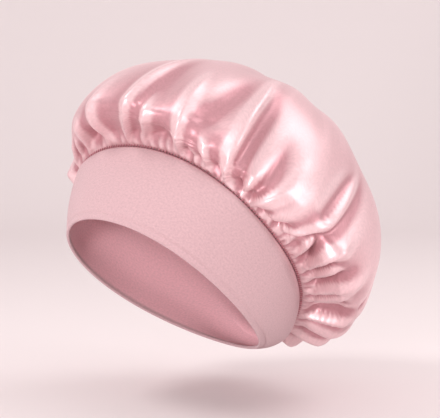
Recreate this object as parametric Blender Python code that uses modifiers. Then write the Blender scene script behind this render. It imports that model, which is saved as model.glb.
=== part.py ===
"""Sleep bonnet: a wide knitted head band and a gathered satin crown, in metres, +Z up.

The origin is the middle of the head opening. +X is the wearer's left, -Y the
wearer's front. Both pieces are laid out upright, as on a flat head opening, and
then tipped back together by WEAR_TILT, the way the bonnet sits on a head.
"""

import math

import bmesh
import bpy
from mathutils import Vector

# Head opening, the free edge of the band
HEAD_LENGTH = 0.195
HEAD_WIDTH = 0.158
HEAD_TAPER = 0.19
EDGE_WAVE = 0.0043
WEAR_TILT = 38.2

# Band, a knitted strip folded double
BAND_WALL = 0.0026
BAND_HEIGHT_FRONT = 0.0706
BAND_HEIGHT_SIDE = 0.0511
BAND_HEIGHT_NAPE = 0.0302
BAND_LIFT = 0.0135
BAND_LIFT_AROUND = 148
BAND_LIFT_SPREAD = 65
BAND_FLARE_SIDE = 0.0124
BAND_FLARE_ENDS = 0.0087
BAND_SWELL = 0.0022
SEAM_TAPER = 0.36
SEAM_FULLNESS = 0.18
SEAM_SETBACK = 0.007
ROLL_WIDTH = 0.0032
ROLL_DROP_FRONT = 0.0035
ROLL_DROP_NAPE = 0.011
ROLL_FROM = -0.6
ROLL_TO = 0.25
EDGE_ROUNDING = 0.42

# Crown, one satin piece gathered into the top of the band
CROWN_WALL = 0.0012
CROWN_OVERHANG_SIDE = 0.0383
CROWN_OVERHANG_FRONT = 0.0415
CROWN_OVERHANG_BACK = 0.0465
CROWN_HEIGHT = 0.1463
CROWN_APEX_SETBACK = 0.024
PUFF_RISE = 0.0267
PUFF_SLANT = 0.48
LOWER_FULLNESS = 2.7
UPPER_FULLNESS = 1.9
LOWER_SHARE = 0.4

# Folds of the crown
FOLD_DEPTH = 0.009
GATHER_DEPTH = 0.0026
GATHERS = 24
GATHER_FADE_START = 0.08
GATHER_FADE_END = 0.4
SEAM_RAMP = 0.14
SEAM_GAP = 0.0004

# Mesh density
BAND_COLUMNS = 72
CROWN_COLUMNS = 96
BAND_ROWS = (0.0, 0.05, 0.35, 0.68, 0.88, 1.0)
ROLL_ROWS = (0.35, 0.7, 1.0)
LOWER_ROWS = 8
UPPER_ROWS = 9
ROW_CROWDING = 1.4

# One row for each fold: where it leaves the seam, in degrees round the opening
# with 0 at the left ear and -90 at the forehead; how far it leans; where it
# starts and ends on the way from seam to apex; its height as a share of
# FOLD_DEPTH; its half width in degrees. Valleys have a negative height.
FOLD_COLUMNS = ("around", "lean", "start", "end", "height", "spread")
FOLDS = (
    (-150, 6, 0.02, 0.60, -0.42, 20),
    (-132, 8, 0.02, 0.36, 0.55, 6),
    (-118, 6, 0.02, 0.34, 0.60, 6),
    (-104, 8, 0.02, 0.48, 0.70, 6),
    (-92, 12, 0.02, 0.64, 0.85, 5),
    (-85, 11, 0.02, 0.48, 0.60, 5),
    (-77, 8, 0.05, 0.40, -0.55, 6),
    (-69, 6, 0.02, 0.58, 0.85, 5),
    (-56, 3, 0.02, 0.40, 0.60, 6),
    (-52, 2, 0.42, 0.68, -0.55, 7),
    (-46, 4, 0.03, 0.68, 0.80, 5),
    (-40, 3, 0.08, 0.62, -0.75, 5),
    (-34, 8, 0.08, 0.54, -0.55, 6),
    (-27, 8, 0.06, 0.46, 0.55, 6),
    (-19, 2, 0.12, 0.50, 0.45, 10),
    (-17, 5, 0.02, 0.18, -0.90, 5),
    (-10, 15, 0.10, 0.62, -0.60, 6),
    (9, -8, 0.02, 0.40, -0.80, 6),
    (12, -5, 0.02, 0.46, 0.60, 6),
    (27, -12, 0.02, 0.40, -0.65, 6),
    (39, -15, 0.02, 0.30, 0.60, 6),
    (50, -10, 0.02, 0.30, -0.60, 6),
    (66, 6, 0.02, 0.36, 0.60, 7),
    (84, 4, 0.02, 0.42, -0.55, 7),
)
MIRROR_FROM = -50
MIRROR_TO = 75
MIRROR_TURN = 4


def clear_scene():
    """Removes every object that the scene holds."""
    for old in list(bpy.data.objects):
        bpy.data.objects.remove(old, do_unlink=True)


def make_collection(name):
    """A collection linked to the scene."""
    collection = bpy.data.collections.new(name)
    bpy.context.scene.collection.children.link(collection)
    return collection


def make_material(name, colour, roughness, sheen):
    """A fabric material with its colour, roughness and sheen."""
    material = bpy.data.materials.new(name)
    material.use_nodes = True
    shader = material.node_tree.nodes["Principled BSDF"]
    shader.inputs["Base Color"].default_value = (*colour, 1.0)
    shader.inputs["Roughness"].default_value = roughness
    shader.inputs["Metallic"].default_value = 0.0
    shader.inputs["Sheen Weight"].default_value = sheen
    material.diffuse_color = (*colour, 1.0)
    return material


def smooth_step(low, high, value):
    """0 below low, 1 above high and a smooth rise between them."""
    share = min(1.0, max(0.0, (value - low) / (high - low)))
    return share * share * (3 - 2 * share)


def edge_point(angle):
    """A point on the free edge of the band, round the head opening."""
    across, along = math.cos(angle), math.sin(angle)
    return Vector((
        HEAD_WIDTH / 2 * across * (1 - HEAD_TAPER * along),
        HEAD_LENGTH / 2 * along,
        -EDGE_WAVE * math.cos(2 * angle),
    ))


def band_lift(angle):
    """How much higher the seam lies behind the right ear, where the band is less rolled."""
    away = (math.degrees(angle) - BAND_LIFT_AROUND + 180) % 360 - 180
    if abs(away) > BAND_LIFT_SPREAD:
        return 0.0
    return BAND_LIFT * math.cos(away / BAND_LIFT_SPREAD * math.pi / 2) ** 2


def seam_height(angle):
    """Height of the gathered seam above the level head opening."""
    along = math.sin(angle)
    even = (BAND_HEIGHT_FRONT + BAND_HEIGHT_NAPE) / 2 - BAND_HEIGHT_SIDE
    odd = (BAND_HEIGHT_NAPE - BAND_HEIGHT_FRONT) / 2
    return BAND_HEIGHT_SIDE + even * along**2 + odd * along**3 + band_lift(angle)


def seam_point(angle):
    """A point on the seam where the crown is gathered into the band."""
    across, along = math.cos(angle), math.sin(angle)
    half_width = HEAD_WIDTH / 2 + BAND_FLARE_SIDE
    half_length = HEAD_LENGTH / 2 + BAND_FLARE_ENDS
    plan = 1 - SEAM_TAPER * along + SEAM_FULLNESS * along**2
    return Vector((
        half_width * across * plan,
        SEAM_SETBACK + half_length * along,
        seam_height(angle),
    ))


def level_outward(angle):
    """The level direction that points out of the seam's ring."""
    step = 0.01
    run = seam_point(angle + step) - seam_point(angle - step)
    return Vector((run.y, -run.x, 0.0)).normalized()


def roll_drop(along):
    """How far the rolled top of the band drops from the seam to its outer edge."""
    share = smooth_step(ROLL_FROM, ROLL_TO, along)
    return ROLL_DROP_FRONT + (ROLL_DROP_NAPE - ROLL_DROP_FRONT) * share


def band_section(angle):
    """The middle line of the band's cloth, from its free edge up to the seam."""
    along = math.sin(angle)
    outward = level_outward(angle)
    edge = edge_point(angle)
    top = seam_point(angle)
    top.z -= (CROWN_WALL + BAND_WALL) / 2 + SEAM_GAP
    shoulder = top + outward * ROLL_WIDTH
    shoulder.z -= roll_drop(along)
    points = []
    for share in BAND_ROWS:
        swell = BAND_SWELL * math.sin(math.pi * share)
        points.append(edge.lerp(shoulder, share) + outward * swell)
    for share in ROLL_ROWS:
        turn = share * math.pi / 2
        point = top + outward * ROLL_WIDTH * math.cos(turn)
        point.z = shoulder.z + (top.z - shoulder.z) * math.sin(turn)
        points.append(point)
    return points


def crown_base(angle, share):
    """The unfolded crown: share 0 is at the seam and share 1 at the apex."""
    across, along = math.cos(angle), math.sin(angle)
    seam = seam_point(angle)
    seam_half_length = HEAD_LENGTH / 2 + BAND_FLARE_ENDS
    front = seam_half_length - SEAM_SETBACK + CROWN_OVERHANG_FRONT
    back = seam_half_length + SEAM_SETBACK + CROWN_OVERHANG_BACK
    middle = (back - front) / 2
    slant = PUFF_SLANT * (BAND_HEIGHT_NAPE - BAND_HEIGHT_FRONT) / 2
    widest = Vector((
        (HEAD_WIDTH / 2 + BAND_FLARE_SIDE + CROWN_OVERHANG_SIDE) * across,
        middle + (front + back) / 2 * along,
        BAND_HEIGHT_SIDE + PUFF_RISE + slant * along,
    ))
    if share < LOWER_SHARE:
        turn = share / LOWER_SHARE * math.pi / 2
        out = math.sin(turn) ** (2 / LOWER_FULLNESS)
        rise = 1 - math.cos(turn) ** (2 / LOWER_FULLNESS)
        point = seam.lerp(widest, out)
        point.z = seam.z + (widest.z - seam.z) * rise
        return point
    turn = (share - LOWER_SHARE) / (1 - LOWER_SHARE) * math.pi / 2
    out = max(0.0, math.cos(turn)) ** (2 / UPPER_FULLNESS)
    rise = math.sin(turn) ** (2 / UPPER_FULLNESS)
    top = Vector((0.0, CROWN_APEX_SETBACK, BAND_HEIGHT_SIDE + CROWN_HEIGHT))
    point = top.lerp(widest, out)
    point.z = widest.z + (top.z - widest.z) * rise
    return point


def all_folds():
    """Every fold: the listed ones, and those of the left rear repeated on the right."""
    folds = [dict(zip(FOLD_COLUMNS, row)) for row in FOLDS]
    repeats = []
    for index, fold in enumerate(folds):
        if MIRROR_FROM < fold["around"] < MIRROR_TO:
            turn = MIRROR_TURN if index % 2 else -MIRROR_TURN
            repeat = dict(fold)
            repeat["around"] = 180 - fold["around"] + turn
            repeat["lean"] = -fold["lean"]
            repeats.append(repeat)
    return folds + repeats


def fold_height(angle, share, folds):
    """How far the folds and gathers lift the crown off its base at one point."""
    degrees = math.degrees(angle)
    height = 0.0
    for fold in folds:
        reach = (share - fold["start"]) / (fold["end"] - fold["start"])
        centre = fold["around"] + fold["lean"] * min(1.0, max(0.0, reach))
        away = (degrees - centre + 180) % 360 - 180
        ridge = math.exp(-((away / fold["spread"]) ** 2))
        fade = smooth_step(-0.15, 0.25, reach) * (1 - smooth_step(0.55, 1.05, reach))
        height += FOLD_DEPTH * fold["height"] * ridge * fade
    gather = math.cos(GATHERS * angle) * (1 - smooth_step(GATHER_FADE_START, GATHER_FADE_END, share))
    return (height + GATHER_DEPTH * gather) * smooth_step(0.0, SEAM_RAMP, share)


def crown_rows():
    """The shares of the way from seam to apex at which the crown's rings lie."""
    lower = [LOWER_SHARE * (row / LOWER_ROWS) ** ROW_CROWDING for row in range(LOWER_ROWS)]
    upper = [LOWER_SHARE + (1 - LOWER_SHARE) * row / (UPPER_ROWS + 1) for row in range(UPPER_ROWS + 1)]
    return lower + upper


def crown_point(angle, share, folds):
    """A point on the folded crown."""
    step = 0.004
    low, high = max(0.0, share - step), min(1.0, share + step)
    around = crown_base(angle + step, share) - crown_base(angle - step, share)
    upward = crown_base(angle, high) - crown_base(angle, low)
    outward = around.cross(upward).normalized()
    return crown_base(angle, share) + outward * fold_height(angle, share, folds)


def loft(name, sections):
    """A surface through sections of equal length, the last one joined to the first."""
    build = bmesh.new()
    rows = [[build.verts.new(point) for point in section] for section in sections]
    count = len(rows)
    for index in range(count):
        left, right = rows[index], rows[(index + 1) % count]
        for low in range(len(left) - 1):
            build.faces.new((left[low], right[low], right[low + 1], left[low + 1]))
    mesh = bpy.data.meshes.new(name)
    build.to_mesh(mesh)
    build.free()
    return mesh


def close_apex(mesh, apex):
    """Closes the crown's last ring with a fan of faces to its apex."""
    build = bmesh.new()
    build.from_mesh(mesh)
    open_edges = [edge for edge in build.edges if edge.is_boundary]
    highest = max(vertex.co.z for vertex in build.verts)
    middle = (highest + min(vertex.co.z for vertex in build.verts)) / 2
    ring = [edge for edge in open_edges if edge.verts[0].co.z > middle]
    fan = bmesh.ops.contextual_create(build, geom=ring)
    bmesh.ops.poke(build, faces=fan["faces"])
    tip = max(build.verts, key=lambda vertex: len(vertex.link_edges))
    tip.co = apex
    build.to_mesh(mesh)
    build.free()


def add_object(name, mesh, material, collection, parent):
    """An object for a mesh, in its collection and under the bonnet's empty."""
    mesh.materials.append(material)
    new_object = bpy.data.objects.new(name, mesh)
    collection.objects.link(new_object)
    new_object.parent = parent
    return new_object


def thicken(piece, wall):
    """Gives a surface the thickness of its cloth, half of it to each side."""
    solidify = piece.modifiers.new("Cloth", "SOLIDIFY")
    solidify.thickness = wall
    solidify.offset = 0.0


def build_band(collection, parent):
    """The knitted band: lofted all round, thickened and its edges rounded."""
    turn = 2 * math.pi / BAND_COLUMNS
    sections = [band_section(column * turn) for column in range(BAND_COLUMNS)]
    mesh = loft("band", sections)
    colour = (0.72, 0.42, 0.45)
    material = make_material("knit_rose", colour, roughness=0.9, sheen=0.3)
    band = add_object("band", mesh, material, collection, parent)
    thicken(band, BAND_WALL)
    rounding = band.modifiers.new("Folded edge", "BEVEL")
    rounding.width = BAND_WALL * EDGE_ROUNDING
    rounding.segments = 2
    rounding.limit_method = "ANGLE"
    rounding.angle_limit = math.radians(60)
    mesh.shade_smooth()
    return band


def build_crown(collection, parent):
    """The gathered crown: rings lofted with their folds up to the apex, then thickened."""
    folds = all_folds()
    turn = 2 * math.pi / CROWN_COLUMNS
    sections = []
    for column in range(CROWN_COLUMNS):
        sections.append([crown_point(column * turn, share, folds) for share in crown_rows()])
    mesh = loft("crown", sections)
    close_apex(mesh, crown_base(0.0, 1.0))
    colour = (0.76, 0.46, 0.49)
    material = make_material("satin_rose", colour, roughness=0.35, sheen=0.2)
    crown = add_object("crown", mesh, material, collection, parent)
    thicken(crown, CROWN_WALL)
    mesh.shade_smooth()
    return crown


def main():
    """Builds the bonnet in its worn position."""
    clear_scene()
    collection = make_collection("sleep_bonnet")
    bonnet = bpy.data.objects.new("bonnet_frame", None)
    bonnet.rotation_euler = (-math.radians(WEAR_TILT), 0.0, 0.0)
    collection.objects.link(bonnet)
    build_band(collection, bonnet)
    build_crown(collection, bonnet)


main()
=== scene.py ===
"""Sleep bonnet: the looks of a knitted head band and a gathered satin crown.

The frame gives the two solids in metres, +Z up, with the origin in the middle of
the head opening, +X to the wearer's left and -Y to the wearer's front. Both cloth
pieces are shaped upright, round a level head opening, and tipped back at the end.
Around the opening an angle of 0 is the left ear, -90 the forehead and 90 the nape.
"""

import math

import bpy
import numpy as np
from bpy.props import FloatProperty, FloatVectorProperty, IntProperty, PointerProperty
from mathutils import Matrix, Vector


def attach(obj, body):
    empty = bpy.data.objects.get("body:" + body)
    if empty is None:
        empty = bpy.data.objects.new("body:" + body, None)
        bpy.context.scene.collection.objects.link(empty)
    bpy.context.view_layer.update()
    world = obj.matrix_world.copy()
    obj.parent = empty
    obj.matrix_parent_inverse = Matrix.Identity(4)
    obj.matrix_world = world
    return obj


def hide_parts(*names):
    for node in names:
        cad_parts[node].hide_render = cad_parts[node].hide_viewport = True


bl_info = {
    "name": "Sleep Bonnet",
    "version": (1, 0, 0),
    "blender": (4, 5, 0),
    "location": "View3D > Sidebar > Bonnet",
    "description": "Makes a sleep bonnet with a knit band and a gathered satin crown",
    "category": "Object",
}

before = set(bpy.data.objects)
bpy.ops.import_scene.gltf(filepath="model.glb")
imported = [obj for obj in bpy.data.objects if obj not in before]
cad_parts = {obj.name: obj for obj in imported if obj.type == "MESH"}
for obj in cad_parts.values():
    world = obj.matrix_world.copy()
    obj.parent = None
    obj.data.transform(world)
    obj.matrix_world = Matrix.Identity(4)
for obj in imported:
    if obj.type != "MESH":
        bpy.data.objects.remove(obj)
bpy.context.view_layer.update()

BODY = "root"
MM = 0.001

# Shape values that the solids share
HEAD_TAPER = 0.19
EDGE_WAVE = 0.0043
BAND_HEIGHTS = {"front": 0.0706, "side": 0.0511, "nape": 0.0302}
BAND_FLARE = {"side": 0.0124, "ends": 0.0087}
BAND_LIFT = {"height": 0.0135, "around": 148.0, "spread": 65.0}
BAND_SWELL = 0.0022
SEAM_TAPER = 0.36
SEAM_FULLNESS = 0.18
SEAM_SETBACK = 0.007
ROLL_WIDTH = 0.0032
ROLL_DROP = {"front": 0.0035, "nape": 0.011}
ROLL_DROP_RANGE = (-0.6, 0.25)
OVERHANG = {"side": 0.0383, "front": 0.0415, "back": 0.0465}
CROWN_HEIGHT = 0.1463
APEX_SETBACK = 0.024
PUFF_RISE = 0.0267
PUFF_SLANT = 0.48
LOWER_FULLNESS = 2.7
UPPER_FULLNESS = 1.9
LOWER_SHARE = 0.4
SEAM_GAP = 0.0004

# Shape values of the visible band alone, in metres. The ripples are in millimetres.
HEM = {"height": 0.0042, "half_width": 0.0011, "depth": 0.0008}
ALLOWANCE = {"inward": 0.0011, "height": 0.0024}
BAND_GRID = {"columns": 360, "rows": 70, "roll_rows": 12, "edge_rows": 8}
STRAIGHT_INSIDE = (0.2, 0.85)
# Painted shading of the band: the part of the roll over which the inner colour comes in and its
# most, as painted shade where the roll turns away, and the rows over which the inner face's
# painted light comes in
ROLL_PAINTED_SHADE = {"range": (0.15, 0.9), "most": 0.75}
INNER_SHADING_ROWS = 5
RIPPLE_COLUMNS = ("height", "waves", "phase")
RIPPLES = ((0.25, 7, 1.0), (0.15, 13, 0.0))

# Crown rings: how many lie below the widest ring, how they crowd towards the seam,
# and the room left round the apex in ring steps
RING_SHARES = {"lower": 0.36, "crowding": 1.35, "apex_room": 0.6}

# Broad unevenness of the crown: height in millimetres, waves and phase round it, and
# waves and phase on the way up
SWELL_COLUMNS = ("height", "waves", "phase", "up", "up_phase")
SWELLS = (
    (1.9, 3, 0.7, 5.0, 0.4),
    (1.5, 5, 2.1, 7.5, 1.3),
    (1.1, 9, 4.4, 11.0, 2.2),
)
SWELL_IN = (0.15, 0.45)
SWELL_OUT = (0.86, 1.0)

# What the cloth simulation starts from and what is added after it, as factors
SEED_RELIEF = {"folds": 1.35, "gathers": 0.8}
FINE_RELIEF = {"folds": 0.42, "gathers": 0.5, "narrow": 0.45}
SEAM_FADES = {"folds": 0.07, "gathers": 0.02, "fine_folds": 0.05}

# How far the crown may stand above its base near the seam and hang below the seam:
# depth in metres, rise at the seam in millimetres, reach in columns, ranges of share
HANG = {
    "depth": 0.006,
    "seam_rise": 0.3,
    "crest_reach": 10,
    "rise_range": (0.03, 0.3),
    "fade_range": (0.26, 0.4),
    "lowest_range": (0.05, 0.32),
}

# Painted shade in the crown's creases and painted highlight on its crests, from how far a point
# lies below
# or above its neighbours: neighbours in columns, level on a flat place, the depth in millimetres
# that takes the mask from one end to the other, and the fixed level of the inner face
FOLD_PAINTED_SHADING = {"neighbours": (3, -3, 6, -6), "level": 0.35, "depth": 1.6, "inside": 0.5}

# One row for each fold that shows: its angle round the opening at the seam, half
# way and at its end; where it starts and ends on the way from seam to apex; its
# rise in millimetres, below 0 for a valley; its half width in degrees towards the
# front and towards the nape; and how crisp its crest is, 1 for a crease.
FOLD_COLUMNS = ("foot", "middle", "tip", "start", "end", "rise", "before", "after", "crisp")
FOLDS = (
    (-150, -147, -144, 0.00, 0.60, -4.0, 20.0, 20.0, 0.0),
    (-134, -128, -124, 0.00, 0.30, 3.5, 4.0, 3.5, 0.4),
    (-124, -121, -118, 0.00, 0.22, 2.6, 3.0, 3.0, 0.4),
    (-116, -114, -113, 0.00, 0.32, 3.6, 4.0, 3.0, 0.5),
    (-108, -108, -106, 0.00, 0.20, -2.4, 3.0, 3.0, 0.4),
    (-101, -102, -95, 0.00, 0.50, 4.6, 4.5, 6.0, 0.6),
    (-93, -81, -84, 0.00, 0.72, 6.5, 7.0, 2.6, 0.9),
    (-86, -75, -76, 0.00, 0.50, 4.6, 4.5, 2.6, 0.8),
    (-76, -70, -70, 0.22, 0.52, 2.6, 6.0, 6.0, 0.1),
    (-77, -72, -70, 0.03, 0.26, -2.4, 4.0, 4.0, 0.2),
    (-69, -61, -66, 0.00, 0.60, 6.8, 5.0, 2.4, 0.9),
    (-62, -59, -58, 0.00, 0.26, 3.0, 2.4, 2.4, 0.5),
    (-57, -52, -54, 0.00, 0.38, 4.4, 3.6, 3.0, 0.6),
    (-56, -52, -50, 0.40, 0.66, -4.6, 5.0, 7.0, 0.3),
    (-51, -48, -48, 0.02, 0.34, -2.6, 3.0, 3.0, 0.4),
    (-46, -42, -45, 0.00, 0.74, 6.8, 5.5, 2.4, 0.9),
    (-41, -39, -39, 0.28, 0.64, -4.8, 3.0, 5.0, 0.4),
    (-41, -37, -37, 0.00, 0.44, -3.6, 2.4, 2.4, 0.6),
    (-38, -34, -33, 0.02, 0.40, 3.4, 3.0, 2.6, 0.5),
    (-35, -29, -28, 0.03, 0.52, -4.4, 3.0, 3.0, 0.6),
    (-33, -26, -19, 0.00, 0.50, 4.6, 3.0, 5.0, 0.8),
    (-22, -17, -14, 0.08, 0.54, 4.4, 7.0, 6.0, 0.1),
    (-19, -16, -13, 0.00, 0.22, -5.4, 2.6, 2.6, 0.6),
    (-14, -5, 7, 0.06, 0.64, 3.4, 4.0, 2.4, 0.8),
    (-11, -1, 10, 0.06, 0.64, -4.4, 2.4, 4.0, 0.7),
    (-7, -3, 4, 0.38, 0.62, -2.6, 2.4, 3.0, 0.6),
    (1, 3, 8, 0.00, 0.42, 3.6, 5.0, 4.0, 0.2),
    (9, 0, 1, 0.00, 0.42, -5.6, 3.0, 2.6, 0.7),
    (13, 5, 9, 0.00, 0.46, 4.6, 2.4, 4.0, 0.7),
    (20, 11, 12, 0.00, 0.30, -3.4, 2.6, 2.6, 0.5),
    (24, 15, 16, 0.00, 0.34, 3.4, 3.0, 3.0, 0.5),
    (28, 18, 16, 0.00, 0.38, -4.4, 2.8, 2.8, 0.7),
    (33, 24, 22, 0.00, 0.42, 4.2, 3.0, 4.0, 0.6),
    (40, 31, 26, 0.00, 0.28, 3.6, 3.0, 3.0, 0.6),
    (44, 37, 34, 0.00, 0.26, -3.6, 3.0, 3.0, 0.5),
    (48, 42, 39, 0.00, 0.30, -4.4, 3.0, 3.6, 0.6),
    (54, 49, 48, 0.00, 0.30, 4.0, 3.6, 3.6, 0.5),
    (40, 38, 36, 0.30, 0.50, -3.0, 3.0, 3.0, 0.4),
    (-29, -25, -22, 0.00, 0.20, -2.6, 2.0, 2.0, 0.6),
    (-6, -9, -8, 0.00, 0.26, 2.8, 2.0, 2.0, 0.6),
    (5, -2, -1, 0.00, 0.30, 2.8, 2.0, 2.0, 0.6),
    (17, 8, 8, 0.00, 0.26, 3.0, 2.0, 2.0, 0.6),
    (37, 28, 25, 0.00, 0.26, -3.0, 2.0, 2.0, 0.7),
    (51, 46, 43, 0.00, 0.26, -3.0, 2.0, 2.0, 0.6),
    (58, 54, 52, 0.00, 0.28, -3.4, 2.4, 2.4, 0.6),
)

# How every fold is formed: it widens along its way, a crisp one has a sharper crest,
# and it fades in at its foot and out at its tip
FOLD_WIDENING = {"foot": 0.75, "more": 0.5}
CREST_POWER = {"soft": 2.0, "less": 0.85}
CREST_ROUNDING = 0.05
FOLD_FADE_IN = (-0.06, 0.12)
FOLD_FADE_OUT = (0.5, 1.06)
CRISP_FROM = 0.35

# How the folds of the nape and the right side are drawn: angles, steps and half widths
# in degrees, ends as shares of the way from seam to apex, rises in millimetres
HIDDEN_FOLDS = {
    "from": 61,
    "to": 221,
    "step": 5.6,
    "spacing": (0.5, 1.5),
    "seed": 11,
    "long_share": 0.3,
    "lean": 13,
    "tip_lean": 1.2,
    "long_end": (0.52, 0.74),
    "short_end": (0.24, 0.48),
    "least_rise": 2.8,
    "long_rise": 6.2,
    "short_rise": 4.6,
    "half_width": (2.6, 5.0),
    "crisp": (0.3, 0.9),
}

# How the puckers beside the seam are drawn, in the same units
PUCKERS = {
    "seed": 5,
    "half_width": (0.9, 1.7),
    "reach": (0.05, 0.17),
    "rise": (0.7, 1.7),
    "lean": 10,
    "spacing": (2.2, 4.4),
    "fade_from": 0.2,
    "sink": 0.7,
    "sink_range": (0.02, 0.14),
}

# Satin for the cloth simulation, puffed from inside
CLOTH = {
    "quality": 6,
    "mass": 0.15,
    "tension_stiffness": 12.0,
    "compression_stiffness": 12.0,
    "shear_stiffness": 4.0,
    "bending_stiffness": 0.2,
    "tension_damping": 4.0,
    "compression_damping": 4.0,
    "shear_damping": 4.0,
    "bending_damping": 0.5,
    "air_damping": 4.0,
    "pin_stiffness": 1.0,
    "use_pressure": True,
    "uniform_pressure_force": 0.35,
}
CUT_ROOM = {"seam": 0.55, "seam_to": 0.5, "middle": 0.06, "middle_range": (0.4, 0.85)}
LEAST_CLIMB = 0.15
HOLD = {"least": 0.3, "seam": 0.4, "seam_to": 0.04, "apex": 0.95, "apex_from": 0.93}

# Cloth surfaces: threads to the metre across and along, and factor and base of what
# the flecks do to colour and roughness
SATIN = {"threads": (900.0, 700.0), "fleck": (0.34, 0.82), "roughness": (0.20, 0.31)}
KNIT = {"threads": (900.0, 1100.0), "fleck": (0.42, 0.79)}
THREAD_LIGHTER = 1.7

# Flat cut in metres, length and height: a strip that is folded double for the band
BAND_STRIP = (0.60, 0.136)

# Stitches: points on their path, where it lies beside and below the seam, the last in
# millimetres, and their length as a share of their spacing
STITCH_PATH = {"points": 720, "roll_share": 0.8, "below": 0.4}
STITCH_SHARE = 0.85

# Inputs of the stitches' nodes, in metres and radians
STITCH_INPUTS = {
    "Spacing": 0.0032,
    "Stitch length": 0.00272,
    "Thread radius": 0.00042,
    "Slant": 0.45,
}


class BonnetSizes(bpy.types.PropertyGroup):
    """Sizes of the bonnet that can be changed."""

    head_length: FloatProperty(
        name="Head length",
        description="Length of the head opening, forehead to nape",
        default=0.195,
        unit="LENGTH",
    )
    head_width: FloatProperty(
        name="Head width",
        description="Width of the head opening, ear to ear",
        default=0.158,
        unit="LENGTH",
    )
    wear_tilt: FloatProperty(
        name="Wear tilt",
        description="How far the bonnet is tipped back",
        default=math.radians(38.2),
        subtype="ANGLE",
    )
    band_wall: FloatProperty(
        name="Band thickness",
        description="Thickness of the double knit",
        default=0.0026,
        unit="LENGTH",
    )
    crown_wall: FloatProperty(
        name="Satin thickness",
        description="Thickness of the crown's cloth with its give",
        default=0.0012,
        unit="LENGTH",
    )
    fold_depth: FloatProperty(
        name="Fold depth",
        description="Factor on the rise of every fold",
        default=1.0,
        subtype="FACTOR",
    )
    stitch_spacing: FloatProperty(
        name="Stitch spacing",
        description="Distance between the seam's stitches",
        default=0.0032,
        unit="LENGTH",
    )
    crown_columns: IntProperty(
        name="Crown columns",
        description="Number of points round the crown",
        default=480,
        min=48,
    )
    crown_rows: IntProperty(
        name="Crown rows",
        description="Number of rings from the seam to the apex",
        default=149,
        min=25,
    )
    settle_frames: IntProperty(
        name="Settling frames",
        description="Frames of the cloth simulation that settles the crown",
        default=40,
        min=0,
    )


class BonnetColours(bpy.types.PropertyGroup):
    """Colours of the bonnet's cloth and thread, linear."""

    # The crown's own colour at the light end of the painted fold shading: crests are painted
    # towards it as painted highlight
    satin: FloatVectorProperty(
        name="Satin",
        description="Colour of the crown",
        subtype="COLOR",
        size=3,
        default=(0.78, 0.545, 0.567),
    )
    # Painted shade: the colour the crown is painted towards in its creases
    satin_painted_shade: FloatVectorProperty(
        name="Satin in folds",
        description="Colour of the crown in its creases",
        subtype="COLOR",
        size=3,
        default=(0.52, 0.26, 0.29),
    )
    knit: FloatVectorProperty(
        name="Knit",
        description="Colour of the band",
        subtype="COLOR",
        size=3,
        default=(0.56, 0.37, 0.39),
    )
    # Painted light: a brighter, pinker copy of the knit laid on the band's inner face for the
    # bounce light inside, and on the rolled top as painted shading
    knit_painted_inner_shading: FloatVectorProperty(
        name="Knit inside",
        description="Colour of the band's inner face",
        subtype="COLOR",
        size=3,
        default=(0.94, 0.55, 0.60),
    )
    thread: FloatVectorProperty(
        name="Thread",
        description="Colour of the seam's thread",
        subtype="COLOR",
        size=3,
        default=(0.36, 0.125, 0.155),
    )


def smooth_step(low, high, value):
    """0 below low, 1 above high and a smooth rise between them."""
    share = np.clip((value - low) / (high - low), 0.0, 1.0)
    return share * share * (3 - 2 * share)


def edge_ring(sizes, angle):
    """Points on the free edge of the band."""
    across, along = np.cos(angle), np.sin(angle)
    return np.stack([
        sizes.head_width / 2 * across * (1 - HEAD_TAPER * along),
        sizes.head_length / 2 * along,
        -EDGE_WAVE * np.cos(2 * angle),
    ], -1)


def seam_ring(sizes, angle):
    """Points on the seam where the crown is gathered into the band."""
    across, along = np.cos(angle), np.sin(angle)
    half_width = sizes.head_width / 2 + BAND_FLARE["side"]
    half_length = sizes.head_length / 2 + BAND_FLARE["ends"]
    front, side, nape = BAND_HEIGHTS["front"], BAND_HEIGHTS["side"], BAND_HEIGHTS["nape"]
    even, odd = (front + nape) / 2 - side, (nape - front) / 2
    away = (np.degrees(angle) - BAND_LIFT["around"] + 180) % 360 - 180
    near = np.clip(1 - np.abs(away) / BAND_LIFT["spread"], 0, 1)
    lift = BAND_LIFT["height"] * np.sin(near * math.pi / 2) ** 2
    return np.stack([
        half_width * across * (1 - SEAM_TAPER * along + SEAM_FULLNESS * along**2),
        SEAM_SETBACK + half_length * along,
        side + even * along**2 + odd * along**3 + lift,
    ], -1)


def outward_ring(sizes, angle):
    """Level directions out of the seam's ring."""
    run = seam_ring(sizes, angle + 0.01) - seam_ring(sizes, angle - 0.01)
    out = np.stack([run[..., 1], -run[..., 0], np.zeros_like(angle)], -1)
    return out / np.linalg.norm(out, axis=-1, keepdims=True)


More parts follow.
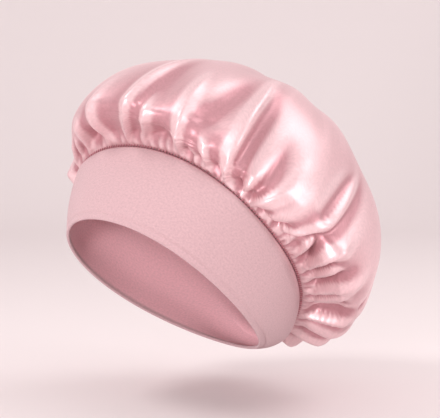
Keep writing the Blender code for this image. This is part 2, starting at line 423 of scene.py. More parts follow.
def crown_base(sizes, angle, share):
    """The unfolded crown: share 0 is at the seam and share 1 at the apex."""
    across, along = np.cos(angle), np.sin(angle)
    seam = seam_ring(sizes, angle)
    half_length = sizes.head_length / 2 + BAND_FLARE["ends"]
    front = half_length - SEAM_SETBACK + OVERHANG["front"]
    back = half_length + SEAM_SETBACK + OVERHANG["back"]
    half_width = sizes.head_width / 2 + BAND_FLARE["side"] + OVERHANG["side"]
    slant = PUFF_SLANT * (BAND_HEIGHTS["nape"] - BAND_HEIGHTS["front"]) / 2
    widest = np.stack([
        half_width * across,
        (back - front) / 2 + (front + back) / 2 * along,
        BAND_HEIGHTS["side"] + PUFF_RISE + slant * along,
    ], -1)
    top = np.array([0.0, APEX_SETBACK, BAND_HEIGHTS["side"] + CROWN_HEIGHT])
    low_turn = np.clip(share / LOWER_SHARE, 0, 1) * math.pi / 2
    high_turn = np.clip((share - LOWER_SHARE) / (1 - LOWER_SHARE), 0, 1) * math.pi / 2
    out = (np.sin(low_turn) ** (2 / LOWER_FULLNESS))[..., None]
    rise = 1 - np.maximum(np.cos(low_turn), 0) ** (2 / LOWER_FULLNESS)
    lower = seam + (widest - seam) * out
    lower[..., 2] = seam[..., 2] + (widest[..., 2] - seam[..., 2]) * rise
    out = (np.maximum(np.cos(high_turn), 0) ** (2 / UPPER_FULLNESS))[..., None]
    rise = np.sin(high_turn) ** (2 / UPPER_FULLNESS)
    upper = top + (widest - top) * out
    upper[..., 2] = widest[..., 2] + (top[2] - widest[..., 2]) * rise
    return np.where((share < LOWER_SHARE)[..., None], lower, upper)


def surface_normals(points):
    """Outward unit normals of a closed ring grid, rows by columns."""
    around = np.roll(points, -1, 1) - np.roll(points, 1, 1)
    upward = np.gradient(points, axis=0)
    normal = np.cross(around, upward)
    return normal / np.maximum(np.linalg.norm(normal, axis=-1, keepdims=True), 1e-12)


def hidden_folds():
    """Folds of the nape and the right side: ridges and valleys in turn, at uneven steps."""
    habit = HIDDEN_FOLDS
    draw = np.random.default_rng(habit["seed"])
    folds, foot, sign = [], float(habit["from"]), 1.0
    while foot < habit["to"]:
        kind = "long" if draw.random() < habit["long_share"] else "short"
        lean = draw.uniform(-habit["lean"], habit["lean"])
        end = draw.uniform(*habit[kind + "_end"])
        rise = sign * draw.uniform(habit["least_rise"], habit[kind + "_rise"])
        before, after = draw.uniform(*habit["half_width"], 2)
        crisp = draw.uniform(*habit["crisp"])
        tip = foot + lean * habit["tip_lean"]
        folds.append((foot, foot + lean, tip, 0.0, end, rise, before, after, crisp))
        foot += habit["step"] * draw.uniform(*habit["spacing"])
        sign = -sign
    return folds


def fold_rise(degrees, share, narrow=1.0):
    """How far the folds lift the crown off its base, in millimetres."""
    rise = np.zeros_like(share)
    for row in list(FOLDS) + hidden_folds():
        fold = dict(zip(FOLD_COLUMNS, row))
        if narrow < 1 and fold["crisp"] < CRISP_FROM:
            continue
        reach = (share - fold["start"]) / (fold["end"] - fold["start"])
        along = np.clip(reach, 0.0, 1.0)
        centre = (
            fold["foot"] * (1 - along) * (1 - 2 * along)
            + fold["middle"] * 4 * along * (1 - along)
            + fold["tip"] * along * (2 * along - 1)
        )
        away = (degrees - centre + 180) % 360 - 180
        widening = FOLD_WIDENING["foot"] + FOLD_WIDENING["more"] * along
        width = np.where(away < 0, fold["before"], fold["after"]) * widening * narrow
        power = CREST_POWER["soft"] - CREST_POWER["less"] * fold["crisp"]
        ridge = np.exp(-((np.sqrt(away**2 + CREST_ROUNDING) / width) ** power))
        fade = smooth_step(*FOLD_FADE_IN, reach) * (1 - smooth_step(*FOLD_FADE_OUT, reach))
        rise += fold["rise"] * ridge * fade
    return rise


def gather_rise(degrees, share):
    """The small uneven puckers beside the seam, in millimetres."""
    habit = PUCKERS
    draw = np.random.default_rng(habit["seed"])
    rise, foot = np.zeros_like(share), -180.0
    while foot < 180.0:
        width = draw.uniform(*habit["half_width"])
        reach = draw.uniform(*habit["reach"])
        lift = draw.uniform(*habit["rise"])
        lean = draw.uniform(-habit["lean"], habit["lean"])
        away = (degrees - foot - lean * share + 180) % 360 - 180
        fade = 1 - smooth_step(habit["fade_from"] * reach, reach, share)
        rise += lift * (np.exp(-((away / width) ** 2)) * fade)
        foot += draw.uniform(*habit["spacing"])
    return rise - habit["sink"] * (1 - smooth_step(*habit["sink_range"], share))


def slow_swell(angle, share):
    """The crown's broad unevenness, in millimetres."""
    swell = np.zeros_like(share)
    for row in SWELLS:
        wave = dict(zip(SWELL_COLUMNS, row))
        around = np.sin(wave["waves"] * angle + wave["phase"])
        swell += wave["height"] * around * np.sin(wave["up"] * share + wave["up_phase"])
    return swell * smooth_step(*SWELL_IN, share) * (1 - smooth_step(*SWELL_OUT, share))


def crown_shares(rows):
    """Shares of the way from seam to apex at which the crown's rings lie."""
    lower = round(rows * RING_SHARES["lower"])
    low = LOWER_SHARE * (np.arange(lower) / lower) ** RING_SHARES["crowding"]
    steps = rows - lower + RING_SHARES["apex_room"]
    high = LOWER_SHARE + (1 - LOWER_SHARE) * np.arange(rows - lower) / steps
    return np.concatenate([low, high])


def cloth_settings(modifier, pins):
    """Light satin that is held at its seam and is puffed from inside."""
    cloth = modifier.settings
    for name, value in CLOTH.items():
        setattr(cloth, name, value)
    cloth.vertex_group_mass = pins
    cloth.effector_weights.gravity = 0.0
    modifier.collision_settings.use_collision = False
    modifier.collision_settings.use_self_collision = False


def cut_shape(base, share):
    """The crown's cloth as it is cut: as long as the crown, and wider towards the seam."""
    middle = base[..., :2].mean(1, keepdims=True)
    level = base[..., :2] - middle
    reach = np.linalg.norm(level, axis=-1)
    room = 1 + CUT_ROOM["seam"] * (1 - smooth_step(0.0, CUT_ROOM["seam_to"], share))
    room = room + CUT_ROOM["middle"] * (1 - smooth_step(*CUT_ROOM["middle_range"], share))
    wide = reach * room
    step = np.linalg.norm(np.diff(base, axis=0), axis=-1)
    least = (LEAST_CLIMB * step) ** 2
    rise = np.sqrt(np.maximum(step**2 - np.diff(wide, axis=0) ** 2, least))
    height = np.concatenate([np.zeros((1, share.shape[1])), np.cumsum(rise, 0)])
    flat = level / np.maximum(reach, 1e-9)[..., None] * wide[..., None]
    return np.concatenate([flat, height[..., None]], -1)


def settle_cloth(grid, base, share, frames):
    """Lets the folded crown buckle as cloth and gives back where its points come to rest."""
    rows, columns = share.shape
    numbers = np.arange(rows * columns).reshape(rows, columns)
    faces = [face for low, high in zip(numbers, numbers[1:]) for face in quads_between(low, high)]
    piece = mesh_of("settling", grid.reshape(-1, 3), faces)
    hold = HOLD["least"] + HOLD["seam"] * (1 - smooth_step(0.0, HOLD["seam_to"], share))
    hold = np.where(share < 1e-6, 1.0, hold)
    hold = np.maximum(hold, HOLD["apex"] * smooth_step(HOLD["apex_from"], 1.0, share))
    group = piece.vertex_groups.new(name="pins")
    for index, value in enumerate(hold.ravel()):
        group.add([index], float(value), "REPLACE")
    piece.shape_key_add(name="Basis")
    cut = piece.shape_key_add(name="Cut")
    cut.data.foreach_set("co", cut_shape(base, share).astype(np.float32).ravel())
    cut.value = 0.0
    modifier = piece.modifiers.new("Cloth", "CLOTH")
    cloth_settings(modifier, "pins")
    modifier.settings.rest_shape_key = cut
    modifier.point_cache.frame_start = 1
    modifier.point_cache.frame_end = frames
    scene = bpy.context.scene
    for step in range(1, frames + 1):
        scene.frame_set(step)
    rested = piece.evaluated_get(bpy.context.evaluated_depsgraph_get()).to_mesh()
    places = np.zeros(rows * columns * 3, np.float32)
    rested.vertices.foreach_get("co", places)
    bpy.data.objects.remove(piece, do_unlink=True)
    scene.frame_set(1)
    return places.reshape(rows, columns, 3).astype(float)


def refine(coarse, rows, columns):
    """Twice as many rings and columns through the same points, by the four point rule."""
    fine = np.zeros((rows, coarse.shape[1], 3))
    fine[::2] = coarse
    before, after = 2 * coarse[:1] - coarse[1:2], 2 * coarse[-1:] - coarse[-2:-1]
    padded = np.concatenate([before, coarse, after])
    fine[1::2] = (9 * (padded[1:-2] + padded[2:-1]) - padded[:-3] - padded[3:]) / 16
    full = np.zeros((rows, columns, 3))
    full[:, ::2] = fine
    before, after = np.roll(fine, 1, 1), np.roll(fine, -1, 1)
    full[:, 1::2] = (9 * (fine + after) - before - np.roll(fine, -2, 1)) / 16
    return full


def crest_level(height, reach):
    """A smooth level over the crests within a reach of columns to both sides."""
    level = height.copy()
    for shift in range(-reach, reach + 1):
        level = np.maximum(level, np.roll(height, shift, 1))
    return sum(np.roll(level, shift, 1) for shift in range(-reach, reach + 1)) / (2 * reach + 1)


def crown_grid(sizes):
    """The folded crown as rings of points, and the angle and share of each point."""
    angle = np.arange(sizes.crown_columns) / sizes.crown_columns * 2 * math.pi
    angle, share = np.meshgrid(angle, crown_shares(sizes.crown_rows))
    base = crown_base(sizes, angle, share)
    normal = surface_normals(base)
    degrees = (np.degrees(angle) + 180) % 360 - 180
    rise = fold_rise(degrees, share) * smooth_step(0.0, SEAM_FADES["folds"], share)
    rise += slow_swell(angle, share)
    fine = gather_rise(degrees, share) * smooth_step(0.0, SEAM_FADES["gathers"], share)
    seed = SEED_RELIEF["folds"] * rise + SEED_RELIEF["gathers"] * fine
    folded = base + normal * (seed * sizes.fold_depth * MM)[..., None]
    if sizes.settle_frames:
        coarse = folded[::2, ::2]
        rested = settle_cloth(coarse, base[::2, ::2], share[::2, ::2], sizes.settle_frames)
        folded = folded + refine(rested - coarse, *share.shape)
    crisp = fold_rise(degrees, share, narrow=FINE_RELIEF["narrow"])
    crisp = crisp * smooth_step(0.0, SEAM_FADES["fine_folds"], share)
    relief = FINE_RELIEF["gathers"] * fine + FINE_RELIEF["folds"] * crisp
    folded = folded + normal * (relief * sizes.fold_depth * MM)[..., None]
    height = ((folded - base) * normal).sum(-1)
    allowed = HANG["seam_rise"] * MM + HANG["depth"] * smooth_step(*HANG["rise_range"], share)
    above = np.maximum(crest_level(height, HANG["crest_reach"]) - allowed, 0)
    above = above * (1 - smooth_step(*HANG["fade_range"], share))
    folded = folded - normal * above[..., None]
    lowest = base[:1, :, 2] - HANG["depth"] * smooth_step(*HANG["lowest_range"], share)
    folded[..., 2] = np.maximum(folded[..., 2], lowest)
    return folded, base, angle, share


def tip_back(sizes, points):
    """Tips points that were laid out upright into the worn position."""
    turn = np.array(Matrix.Rotation(-sizes.wear_tilt, 3, "X"))
    return points @ turn.T


def run_up(rings):
    """Distance of each point of a ring grid from its first ring, along the surface."""
    steps = np.linalg.norm(np.diff(rings, axis=0), axis=-1)
    return np.concatenate([np.zeros((1, rings.shape[1])), np.cumsum(steps, 0)])


def quads_between(low, high):
    """Faces between two closed rings of point numbers."""
    return np.stack([low, np.roll(low, -1), np.roll(high, -1), high], -1)


def mesh_of(name, points, faces):
    """A mesh object from points and faces of three or four corners."""
    mesh = bpy.data.meshes.new(name)
    mesh.from_pydata([tuple(p) for p in points], [], [tuple(f) for f in faces])
    mesh.validate()
    mesh.shade_smooth()
    piece = bpy.data.objects.new(name, mesh)
    bpy.context.scene.collection.objects.link(piece)
    return piece


def set_uv(mesh, coordinates):
    """Gives each corner the map coordinates of its point, closed round the seam."""
    layer = mesh.uv_layers.new(name="cloth")
    corner = np.zeros(len(mesh.loops), np.int32)
    mesh.loops.foreach_get("vertex_index", corner)
    uv = coordinates[corner].copy()
    start = np.zeros(len(mesh.polygons), np.int32)
    total = np.zeros(len(mesh.polygons), np.int32)
    mesh.polygons.foreach_get("loop_start", start)
    mesh.polygons.foreach_get("loop_total", total)
    span = coordinates[:, 0].max() - coordinates[:, 0].min()
    for offset in range(1, 4):
        has = total > offset
        first, other = start[has], start[has] + offset
        gap = uv[first, 0] - uv[other, 0]
        uv[other, 0] += np.where(gap > span / 2, span, np.where(gap < -span / 2, -span, 0))
    layer.data.foreach_set("uv", uv.astype(np.float32).ravel())


def set_mask(mesh, name, values):
    """Stores one number for each point."""
    attribute = mesh.attributes.new(name, "FLOAT", "POINT")
    attribute.data.foreach_set("value", values.astype(np.float32).ravel())


def finish_piece(piece, material, node=None):
    """Gives a piece its material and its body, and hides the solid of model.glb that it shows."""
    piece.data.materials.clear()
    piece.data.materials.append(material)
    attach(piece, BODY)
    if node:
        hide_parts(node)


def new_material(name, roughness):
    """A node material with its output and Principled shader."""
    material = bpy.data.materials.new(name)
    material.use_nodes = True
    shader = material.node_tree.nodes["Principled BSDF"]
    shader.inputs["Roughness"].default_value = roughness
    return material, material.node_tree, shader


def add_node(tree, kind, inputs=None, **settings):
    """A node with its settings, whose inputs are values or sockets."""
    node = tree.nodes.new(kind)
    for name, value in settings.items():
        setattr(node, name, value)
    for key, value in (inputs or {}).items():
        if isinstance(value, bpy.types.NodeSocket):
            tree.links.new(value, node.inputs[key])
        else:
            node.inputs[key].default_value = value
    return node


def math_node(tree, operation, *values):
    """A Math node whose inputs are numbers or sockets."""
    inputs = dict(enumerate(values))
    return add_node(tree, "ShaderNodeMath", inputs, operation=operation).outputs[0]


def thread_grain_group():
    """A node group: fine cloth threads in two directions, as a height and a fleck mask."""
    group = bpy.data.node_groups.new("thread_grain", "ShaderNodeTree")
    face = group.interface
    face.new_socket("Vector", in_out="INPUT", socket_type="NodeSocketVector")
    for name in ("Threads across", "Threads along"):
        face.new_socket(name, in_out="INPUT", socket_type="NodeSocketFloat")
    for name in ("Height", "Fleck"):
        face.new_socket(name, in_out="OUTPUT", socket_type="NodeSocketFloat")
    given = group.nodes.new("NodeGroupInput")
    split = add_node(group, "ShaderNodeSeparateXYZ", {0: given.outputs["Vector"]})

    def node(operation, *values):
        return math_node(group, operation, *values)

    across = node("MULTIPLY", split.outputs[0], given.outputs["Threads across"])
    along = node("MULTIPLY", split.outputs[1], given.outputs["Threads along"])
    bend = node("ABSOLUTE", node("SINE", node("MULTIPLY", across, 2 * math.pi)))
    shifted = node("ADD", along, node("MULTIPLY", bend, 0.5))
    wave_along = node("SINE", node("MULTIPLY", shifted, 2 * math.pi))
    height = node("MULTIPLY_ADD", wave_along, 0.5, bend)
    stretched = add_node(group, "ShaderNodeCombineXYZ", {0: across, 1: along})
    inputs = {"Vector": stretched.outputs[0], "Scale": 0.6, "Detail": 3.0}
    fleck = add_node(group, "ShaderNodeTexNoise", inputs)
    results = {"Height": height, "Fleck": fleck.outputs["Fac"]}
    add_node(group, "NodeGroupOutput", results)
    return group


def add_grain(tree, across, along):
    """The thread grain on the piece's own cloth map."""
    cloth_map = add_node(tree, "ShaderNodeUVMap", uv_map="cloth")
    group = bpy.data.node_groups.get("thread_grain") or thread_grain_group()
    inputs = {"Vector": cloth_map.outputs[0], "Threads across": across, "Threads along": along}
    return add_node(tree, "ShaderNodeGroup", inputs, node_tree=group)


def mix_colour(tree, factor, first, second):
    """A colour between two, by a factor socket."""
    inputs = {"Factor": factor, "A": (*first, 1.0), "B": (*second, 1.0)}
    mix = add_node(tree, "ShaderNodeMix", inputs, data_type="RGBA")
    return mix.outputs["Result"]


def bump_from(tree, height, distance, strength, under=None):
    """A Bump node over another normal."""
    inputs = {"Strength": strength, "Distance": distance, "Height": height}
    if under is not None:
        inputs["Normal"] = under
    return add_node(tree, "ShaderNodeBump", inputs).outputs["Normal"]


def object_noise(tree, inputs):
    """A noise over the piece's own place."""
    place = tree.nodes.new("ShaderNodeTexCoord")
    noise = add_node(tree, "ShaderNodeTexNoise", inputs)
    tree.links.new(place.outputs["Object"], noise.inputs["Vector"])
    return noise.outputs["Fac"]


def paint_cloth(tree, shader, grain, mask, colours, fleck):
    """Colours cloth between two colours by a mask, with the grain's flecks."""
    share = add_node(tree, "ShaderNodeAttribute", attribute_name=mask)
    colour = mix_colour(tree, share.outputs["Fac"], *colours)
    amount = math_node(tree, "MULTIPLY_ADD", grain.outputs["Fleck"], *fleck)
    inputs = {0: colour, "Scale": amount}
    tinted = add_node(tree, "ShaderNodeVectorMath", inputs, operation="SCALE")
    tree.links.new(tinted.outputs[0], shader.inputs["Base Color"])


def satin_material(colours):
    """Glossy satin with painted shade in its creases and painted highlight on its crests, a fine
    weave and soft streaks.
    """
    material, tree, shader = new_material("satin_rose", 0.36)
    grain = add_grain(tree, *SATIN["threads"])
    pair = (colours.satin, colours.satin_painted_shade)
    paint_cloth(tree, shader, grain, "fold_shading_mask", pair, SATIN["fleck"])
    wrinkle = object_noise(tree, {"Scale": 38.0, "Detail": 3.0, "Distortion": 0.6})
    soft = bump_from(tree, wrinkle, distance=0.0015, strength=0.3)
    height = grain.outputs["Height"]
    fine = bump_from(tree, height, distance=0.00006, strength=0.25, under=soft)
    tree.links.new(fine, shader.inputs["Normal"])
    fleck = grain.outputs["Fleck"]
    rough = math_node(tree, "MULTIPLY_ADD", fleck, *SATIN["roughness"])
    tree.links.new(rough, shader.inputs["Roughness"])
    along = {"direction_type": "UV_MAP", "uv_map": "cloth"}
    tangent = add_node(tree, "ShaderNodeTangent", **along)
    tree.links.new(tangent.outputs[0], shader.inputs["Tangent"])
    shader.inputs["Anisotropic"].default_value = 0.35
    shader.inputs["Metallic"].default_value = 0.42
    shader.inputs["Specular IOR Level"].default_value = 0.5
    shader.inputs["Sheen Weight"].default_value = 0.25
    shader.inputs["Sheen Roughness"].default_value = 0.4
    shader.inputs["Sheen Tint"].default_value = (1.0, 0.86, 0.88, 1.0)
    return material


def knit_material(colours):
    """Matte fine jersey with its loops and a little fuzz; its inner face and rolled top are
    painted towards a brighter, pinker copy of the knit, as painted bounce light inside the band
    and painted shading of the roll.
    """
    material, tree, shader = new_material("knit_rose", 0.92)
    grain = add_grain(tree, *KNIT["threads"])
    pair = (colours.knit, colours.knit_painted_inner_shading)
    paint_cloth(tree, shader, grain, "inside", pair, KNIT["fleck"])
    fuzz = object_noise(tree, {"Scale": 900.0})
    soft = bump_from(tree, fuzz, distance=0.0004, strength=0.35)
    height = grain.outputs["Height"]
    loops = bump_from(tree, height, distance=0.00025, strength=0.5, under=soft)
    tree.links.new(loops, shader.inputs["Normal"])
    shader.inputs["Specular IOR Level"].default_value = 0.25
    shader.inputs["Sheen Weight"].default_value = 0.35
    shader.inputs["Sheen Roughness"].default_value = 0.5
    shader.inputs["Sheen Tint"].default_value = (1.0, 0.88, 0.9, 1.0)
    return material


def thread_material(colours):
    """Twisted sewing thread."""
    material, tree, shader = new_material("thread_rose", 0.55)
    twist = object_noise(tree, {"Scale": 1500.0})
    light = tuple(min(1.0, value * THREAD_LIGHTER) for value in colours.thread)
    colour = mix_colour(tree, twist, tuple(colours.thread), light)
    tree.links.new(colour, shader.inputs["Base Color"])
    bump = bump_from(tree, twist, distance=0.0001, strength=0.6)
    tree.links.new(bump, shader.inputs["Normal"])
    shader.inputs["Sheen Weight"].default_value = 0.2
    return material


def inner_wall(base, rise, wall, step_across, step_up):
    """A coarser copy of the crown on its inner side, clear of the deepest valleys."""
    normal = surface_normals(base)
    lowest = rise.copy()
    for shift in range(-step_across, step_across + 1):
        lowest = np.minimum(lowest, np.roll(rise, shift, 1))
    tight = lowest.copy()
    for shift in range(1, step_up + 1):
        tight[:-shift] = np.minimum(tight[:-shift], lowest[shift:])
        tight[shift:] = np.minimum(tight[shift:], lowest[:-shift])
    inner = base + normal * (tight - wall)[..., None]
    rows = list(range(0, base.shape[0] - 1, step_up))
    return inner[rows][:, ::step_across]


def build_crown(sizes, colours):
    """The satin crown as one closed thin shell: a fine outer and a coarser inner face."""
    outer, base, angle, share = crown_grid(sizes)
    rise = ((outer - base) * surface_normals(base)).sum(-1)
    rows, columns = share.shape
    step_across, step_up = 4, 3
    inner = inner_wall(base, rise, sizes.crown_wall, step_across, step_up)
    inner_rows, inner_columns = inner.shape[:2]
    top = crown_base(sizes, np.zeros(1), np.ones(1))[0]
    grid = np.arange(rows * columns).reshape(rows, columns)
    first = rows * columns
    inner_grid = first + np.arange(inner_rows * inner_columns).reshape(inner_rows, inner_columns)
    tip = first + inner_rows * inner_columns
    points = np.concatenate([
        outer.reshape(-1, 3),
        inner.reshape(-1, 3),
        [top, top - np.array([0, 0, sizes.crown_wall])],
    ])
    faces = []
    for low, high in zip(grid, grid[1:]):
        faces.extend(quads_between(low, high))
    for low, high in zip(inner_grid, inner_grid[1:]):
        faces.extend(quads_between(low, high)[:, ::-1])
    faces.extend(np.stack([grid[-1], np.roll(grid[-1], -1), np.full(columns, tip)], -1))
    last = inner_grid[-1]
    faces.extend(np.stack([np.roll(last, -1), last, np.full(inner_columns, tip + 1)], -1))
    for index in range(inner_columns):
        following = (index + 1) % inner_columns
        fine = [grid[0][(index * step_across + k) % columns] for k in range(step_across + 1)]
        half = step_across // 2
        for k in range(half):
            faces.append((inner_grid[0][index], fine[k + 1], fine[k]))
        faces.append((inner_grid[0][index], inner_grid[0][following], fine[half]))
        for k in range(half, step_across):
            faces.append((inner_grid[0][following], fine[k + 1], fine[k]))
    piece = mesh_of("satin_crown", tip_back(sizes, points), faces)
    run = run_up(outer)
    spread = angle * (sizes.head_length / 2)
    outer_uv = np.stack([spread, run], -1).reshape(-1, 2)
    inner_uv = np.stack([spread, run], -1)[range(0, rows - 1, step_up)][:, ::step_across]
    ends = np.array([[0.0, run[-1, 0]], [0.0, run[-1, 0]]])
    set_uv(piece.data, np.concatenate([outer_uv, inner_uv.reshape(-1, 2), ends]))
    # Painted fold shading: a point below its neighbours gets painted shade, one above them
    # painted highlight; the inner face gets a fixed level a little deeper than a flat place
    shifts = FOLD_PAINTED_SHADING["neighbours"]
    near = sum(np.roll(rise, shift, 1) for shift in shifts) / len(shifts)
    fold_shading_mask = np.clip(FOLD_PAINTED_SHADING["level"] + (near - rise) / (FOLD_PAINTED_SHADING["depth"] * MM), 0, 1)
    inner_fold_shading = np.full(inner_rows * inner_columns + 2, FOLD_PAINTED_SHADING["inside"])
    set_mask(piece.data, "fold_shading_mask", np.concatenate([fold_shading_mask.ravel(), inner_fold_shading]))
    finish_piece(piece, satin_material(colours), "crown")
    return piece


def band_profile(sizes, angle, rows):
    """The band's middle line at each angle, from the free edge up to the seam."""
    along = np.sin(angle)
    outward = outward_ring(sizes, angle)
    edge = edge_ring(sizes, angle)
    top = seam_ring(sizes, angle)
    top[..., 2] -= (sizes.crown_wall + sizes.band_wall) / 2 + SEAM_GAP
    deeper = ROLL_DROP["nape"] - ROLL_DROP["front"]
    drop = ROLL_DROP["front"] + deeper * smooth_step(*ROLL_DROP_RANGE, along)
    shoulder = top + outward * ROLL_WIDTH
    shoulder[..., 2] -= drop
    sections = []
    for share in np.linspace(0, 1, rows):
        swell = BAND_SWELL * math.sin(math.pi * share)
        sections.append(edge + (shoulder - edge) * share + outward * swell)
    for share in np.linspace(0, 1, BAND_GRID["roll_rows"])[1:]:
        turn = share * math.pi / 2
        point = top + outward * ROLL_WIDTH * math.cos(turn)
        point[..., 2] = shoulder[..., 2] + (top[..., 2] - shoulder[..., 2]) * math.sin(turn)
        sections.append(point)
    return np.stack(sections)


def build_band(sizes, colours):
    """The knit band as one closed shell with a rounded folded edge."""
    columns, rows, fold = BAND_GRID["columns"], BAND_GRID["rows"], BAND_GRID["edge_rows"]
    angle = np.arange(columns) / columns * 2 * math.pi
    middle = band_profile(sizes, angle, rows)
    ripple = np.zeros(columns)
    for row in RIPPLES:
        wave = dict(zip(RIPPLE_COLUMNS, row))
        ripple += wave["height"] * MM * np.sin(wave["waves"] * angle + wave["phase"])
    height = np.linspace(0, 1, len(middle))[:, None]
    normal = surface_normals(middle)
    middle = middle + normal * (ripple[None] * np.sin(math.pi * height))[..., None]
    normal = surface_normals(middle)
    half = sizes.band_wall / 2
    outer, inner = middle + normal * half, middle - normal * half
    groove = np.exp(-(((run_up(middle) - HEM["height"]) / HEM["half_width"]) ** 2))
    outer = outer - normal * (HEM["depth"] * groove)[..., None]
    seam = seam_ring(sizes, angle)
    stand = seam - outward_ring(sizes, angle) * ALLOWANCE["inward"]
    stand[..., 2] += ALLOWANCE["height"]
    climb_in = np.linspace(0, 1, len(middle) - rows + 1)[1:, None, None]
    inner[rows:] = inner[rows - 1] + (stand - inner[rows - 1]) * climb_in
    way = run_up(inner)
    way = (way / way[-1])[..., None]
    straight = inner[0] + (stand - inner[0]) * way
    inner = inner + (straight - inner) * smooth_step(*STRAIGHT_INSIDE, way)
    down = middle[0] - middle[1]
    down = down / np.linalg.norm(down, axis=-1, keepdims=True)
    turn = np.linspace(0, math.pi, fold + 2)[1:-1]
    bend = [middle[0] + normal[0] * half * math.cos(t) + down * half * math.sin(t) for t in turn]
    loop = np.concatenate([outer[::-1], np.stack(bend), inner])
    count = len(loop)
    grid = np.arange(count * columns).reshape(count, columns)
    faces = []
    for index in range(count):
        faces.extend(quads_between(grid[(index + 1) % count], grid[index]))
    piece = mesh_of("knit_band", tip_back(sizes, loop.reshape(-1, 3)), faces)
    run = run_up(loop)
    spread = np.broadcast_to(angle * (sizes.head_length / 2), run.shape)
    set_uv(piece.data, np.stack([spread, run], -1).reshape(-1, 2))
    # Painted shading: the rolled top beside the seam and the inner face are painted towards the
    # knit's inner copy, for the shade of the roll and the bounce light inside
    inside = np.zeros((count, columns))
    roll_shade = np.linspace(0, 1, BAND_GRID["roll_rows"])[1:]
    roll_shade = smooth_step(*ROLL_PAINTED_SHADE["range"], roll_shade)
    inside[:len(roll_shade)] = ROLL_PAINTED_SHADE["most"] * roll_shade[::-1, None]
    depth = smooth_step(0, INNER_SHADING_ROWS, np.arange(len(inner)))
    inside[len(outer) + fold:] = depth[:, None]
    set_mask(piece.data, "inside", inside)
    finish_piece(piece, knit_material(colours), "band")
    length, height = BAND_STRIP
    return piece


def stitch_tree():
    """Geometry nodes: short thread stitches at even steps along a path."""
    tree = bpy.data.node_groups.new("seam_stitches", "GeometryNodeTree")
    face = tree.interface
    face.new_socket("Path", in_out="INPUT", socket_type="NodeSocketGeometry")
    for name, value in STITCH_INPUTS.items():
        socket = face.new_socket(name, in_out="INPUT", socket_type="NodeSocketFloat")
        socket.default_value = value
    face.new_socket("Thread", in_out="INPUT", socket_type="NodeSocketMaterial")
    face.new_socket("Stitches", in_out="OUTPUT", socket_type="NodeSocketGeometry")

    def node(kind, inputs=None, **settings):
        return add_node(tree, kind, inputs, **settings)

    given = tree.nodes.new("NodeGroupInput").outputs
    curve = node("GeometryNodeMeshToCurve", {"Mesh": given["Path"]})
    inputs = {"Curve": curve.outputs[0], "Length": given["Spacing"]}
    steps = node("GeometryNodeResampleCurve", inputs, mode="LENGTH")
    stitch = node("GeometryNodeMeshUVSphere", {"Segments": 8, "Rings": 6, "Radius": 1.0})
    radius = given["Thread radius"]
    half = math_node(tree, "MULTIPLY", given["Stitch length"], 0.5)
    scale = node("ShaderNodeCombineXYZ", {0: radius, 1: radius, 2: half})
    tangent = node("GeometryNodeInputTangent").outputs[0]
    align = node("FunctionNodeAlignRotationToVector", {"Vector": tangent}, axis="X")
    inputs = {"Axis": (0.0, 1.0, 0.0), "Angle": given["Slant"]}
    turn = node("FunctionNodeAxisAngleToRotation", inputs)
    inputs = {"Rotation": align.outputs[0], "Rotate By": turn.outputs[0]}
    slant = node("FunctionNodeRotateRotation", inputs, rotation_space="LOCAL")
    place = node("GeometryNodeInstanceOnPoints", {
        "Points": steps.outputs[0],
        "Instance": stitch.outputs["Mesh"],
        "Rotation": slant.outputs[0],
        "Scale": scale.outputs[0],
    })
    real = node("GeometryNodeRealizeInstances", {0: place.outputs[0]})
    inputs = {"Geometry": real.outputs[0], "Material": given["Thread"]}
    paint = node("GeometryNodeSetMaterial", inputs)
    node("NodeGroupOutput", {0: paint.outputs[0]})
    return tree


def set_input(modifier, name, value):
    """Sets a geometry nodes input by its socket's identifier."""
    for item in modifier.node_group.interface.items_tree:
        if item.item_type == "SOCKET" and item.in_out == "INPUT" and item.name == name:
            modifier[item.identifier] = value
            return
    raise ValueError(f"the stitches have no input named {name}")


def build_stitches(sizes, colours):
    """The thread of the gathered seam."""
    count = STITCH_PATH["points"]
    angle = np.arange(count) / count * 2 * math.pi
    reach = STITCH_PATH["roll_share"] * ROLL_WIDTH + sizes.band_wall / 4
    path = seam_ring(sizes, angle) + outward_ring(sizes, angle) * reach
    path[..., 2] -= sizes.crown_wall / 2 + STITCH_PATH["below"] * MM
    mesh = bpy.data.meshes.new("seam_path")
    edges = [(index, (index + 1) % len(path)) for index in range(len(path))]
    mesh.from_pydata([tuple(p) for p in tip_back(sizes, path)], edges, [])
    guide = bpy.data.objects.new("seam_path", mesh)
    bpy.context.scene.collection.objects.link(guide)
    thread = thread_material(colours)
    modifier = guide.modifiers.new("Stitches", "NODES")
    modifier.node_group = stitch_tree()
    spacing = sizes.stitch_spacing
    given = {"Spacing": spacing, "Stitch length": spacing * STITCH_SHARE, "Thread": thread}
    for name, value in (STITCH_INPUTS | given).items():
        set_input(modifier, name, value)
    bpy.context.view_layer.update()
    graph = bpy.context.evaluated_depsgraph_get()
    made = bpy.data.meshes.new_from_object(guide.evaluated_get(graph))
    bpy.data.objects.remove(guide)
    made.shade_smooth()
    piece = bpy.data.objects.new("seam_stitches", made)
    bpy.context.scene.collection.objects.link(piece)
    finish_piece(piece, thread)
    return piece


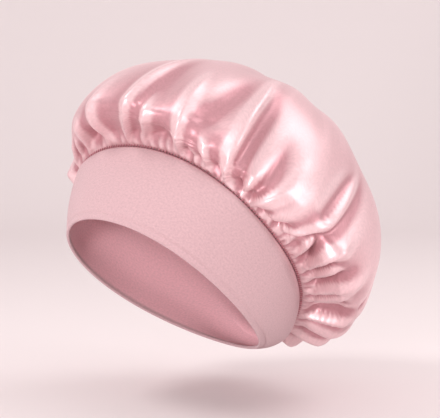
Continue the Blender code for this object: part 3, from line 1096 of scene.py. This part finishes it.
# Stage
CAMERA_PLACE = (0.95091, -0.86681, 0.20057)
CAMERA_AIM = (0.02292, 0.03339, 0.06468)
CAMERA_LENS = 131.8
FLOOR_LEVEL = -0.1
LIGHTS = (
    ("key", -0.75, 1.1, 0.3, 0.42, 6.5, (1.0, 0.97, 0.96)),
    ("back", 0.95, 1.0, -0.35, 0.9, 5.5, (1.0, 0.97, 0.97)),
    ("low", -0.5, -0.02, 1.2, 0.26, 8.0, (1.0, 0.96, 0.96)),
    ("side", 1.25, 0.25, 0.55, 0.6, 5.0, (1.0, 0.96, 0.96)),
)
LIGHT_COLUMNS = ("name", "right", "up", "near", "size", "power", "colour")
WORLD = {"colour": (0.95, 0.89, 0.89), "strength": 0.82}
PAPER = (0.80, 0.735, 0.738)
BACKDROP = {"front": -3.0, "back": 1.2, "bend": 0.6, "steps": 12, "top": 3.0, "side": 3.5}


def stage_material(name, colour):
    """Plain matte paper."""
    material, _, shader = new_material(name, 0.9)
    shader.inputs["Base Color"].default_value = (*colour, 1.0)
    return material


def build_stage():
    """Camera, soft lights and a plain pale floor that runs up into a backdrop."""
    scene = bpy.context.scene
    aim = Vector(CAMERA_AIM)
    place = Vector(CAMERA_PLACE)
    near = (place - aim).normalized()
    up = Vector((0, 0, 1))
    right = up.cross(near).normalized()
    camera = bpy.data.objects.new("camera", bpy.data.cameras.new("camera"))
    camera.data.lens = CAMERA_LENS
    camera.data.sensor_width = 36.0
    camera.data.sensor_fit = "AUTO"
    camera.location = place
    camera.rotation_euler = near.to_track_quat("Z", "Y").to_euler()
    camera.data.clip_start = 0.01
    scene.collection.objects.link(camera)
    scene.camera = camera
    for row in LIGHTS:
        light = dict(zip(LIGHT_COLUMNS, row))
        lamp = bpy.data.lights.new(light["name"], "AREA")
        lamp.shape = "DISK"
        lamp.size = light["size"]
        lamp.energy = light["power"]
        lamp.color = light["colour"]
        spot = bpy.data.objects.new(light["name"], lamp)
        spot.location = aim + right * light["right"] + up * light["up"] + near * light["near"]
        spot.rotation_euler = (spot.location - aim).to_track_quat("Z", "Y").to_euler()
        scene.collection.objects.link(spot)
    world = bpy.data.worlds.new("studio")
    world.use_nodes = True
    sky = world.node_tree.nodes["Background"]
    sky.inputs["Color"].default_value = (*WORLD["colour"], 1.0)
    sky.inputs["Strength"].default_value = WORLD["strength"]
    scene.world = world
    scene.view_settings.view_transform = "Standard"
    back = -near
    back.z = 0.0
    back.normalize()
    start, bend = BACKDROP["back"], BACKDROP["bend"]
    profile = [(BACKDROP["front"], 0.0), (start, 0.0)]
    for step in range(1, BACKDROP["steps"] + 1):
        turn = step / BACKDROP["steps"] * math.pi / 2
        profile.append((start + bend * math.sin(turn), bend * (1 - math.cos(turn))))
    profile.append((start + bend, BACKDROP["top"]))
    points, faces = [], []
    for away, height in profile:
        for side in (-BACKDROP["side"], BACKDROP["side"]):
            point = Vector((aim.x, aim.y, FLOOR_LEVEL + height)) + back * away + right * side
            points.append(tuple(point))
    for index in range(len(profile) - 1):
        low = index * 2
        faces.append((low, low + 1, low + 3, low + 2))
    floor = mesh_of("floor", points, faces)
    floor.data.materials.append(stage_material("paper", PAPER))


class BONNET_OT_band(bpy.types.Operator):
    """Makes the knitted head band."""

    bl_idname = "bonnet.band"
    bl_label = "Knit band"

    def execute(self, context):
        build_band(context.scene.bonnet_sizes, context.scene.bonnet_colours)
        return {"FINISHED"}


class BONNET_OT_crown(bpy.types.Operator):
    """Makes the gathered satin crown."""

    bl_idname = "bonnet.crown"
    bl_label = "Satin crown"

    def execute(self, context):
        build_crown(context.scene.bonnet_sizes, context.scene.bonnet_colours)
        return {"FINISHED"}


class BONNET_OT_stitches(bpy.types.Operator):
    """Makes the stitches of the gathered seam."""

    bl_idname = "bonnet.stitches"
    bl_label = "Seam stitches"

    def execute(self, context):
        build_stitches(context.scene.bonnet_sizes, context.scene.bonnet_colours)
        return {"FINISHED"}


class BONNET_OT_stage(bpy.types.Operator):
    """Sets the camera, the lights and the floor."""

    bl_idname = "bonnet.stage"
    bl_label = "Stage"

    def execute(self, context):
        build_stage()
        return {"FINISHED"}


class BONNET_PT_panel(bpy.types.Panel):
    """Lists the bonnet's sizes, colours and pieces."""

    bl_label = "Sleep bonnet"
    bl_idname = "BONNET_PT_panel"
    bl_space_type = "VIEW_3D"
    bl_region_type = "UI"
    bl_category = "Bonnet"

    def draw(self, context):
        for group in (context.scene.bonnet_sizes, context.scene.bonnet_colours):
            for name in group.__annotations__:
                self.layout.prop(group, name)
        for operator in OPERATORS:
            self.layout.operator(operator.bl_idname)


OPERATORS = (BONNET_OT_stage, BONNET_OT_band, BONNET_OT_crown, BONNET_OT_stitches)
CLASSES = (BonnetSizes, BonnetColours, *OPERATORS, BONNET_PT_panel)


def register():
    """Registers the classes and the scene's settings."""
    for cls in CLASSES:
        bpy.utils.register_class(cls)
    bpy.types.Scene.bonnet_sizes = PointerProperty(type=BonnetSizes)
    bpy.types.Scene.bonnet_colours = PointerProperty(type=BonnetColours)


def unregister():
    """Removes the settings and the classes."""
    del bpy.types.Scene.bonnet_colours
    del bpy.types.Scene.bonnet_sizes
    for cls in reversed(CLASSES):
        bpy.utils.unregister_class(cls)


def main():
    """Makes the stage and every piece."""
    register()
    bpy.ops.bonnet.stage()
    bpy.ops.bonnet.band()
    bpy.ops.bonnet.crown()
    bpy.ops.bonnet.stitches()


if __name__ == "__main__":
    main()
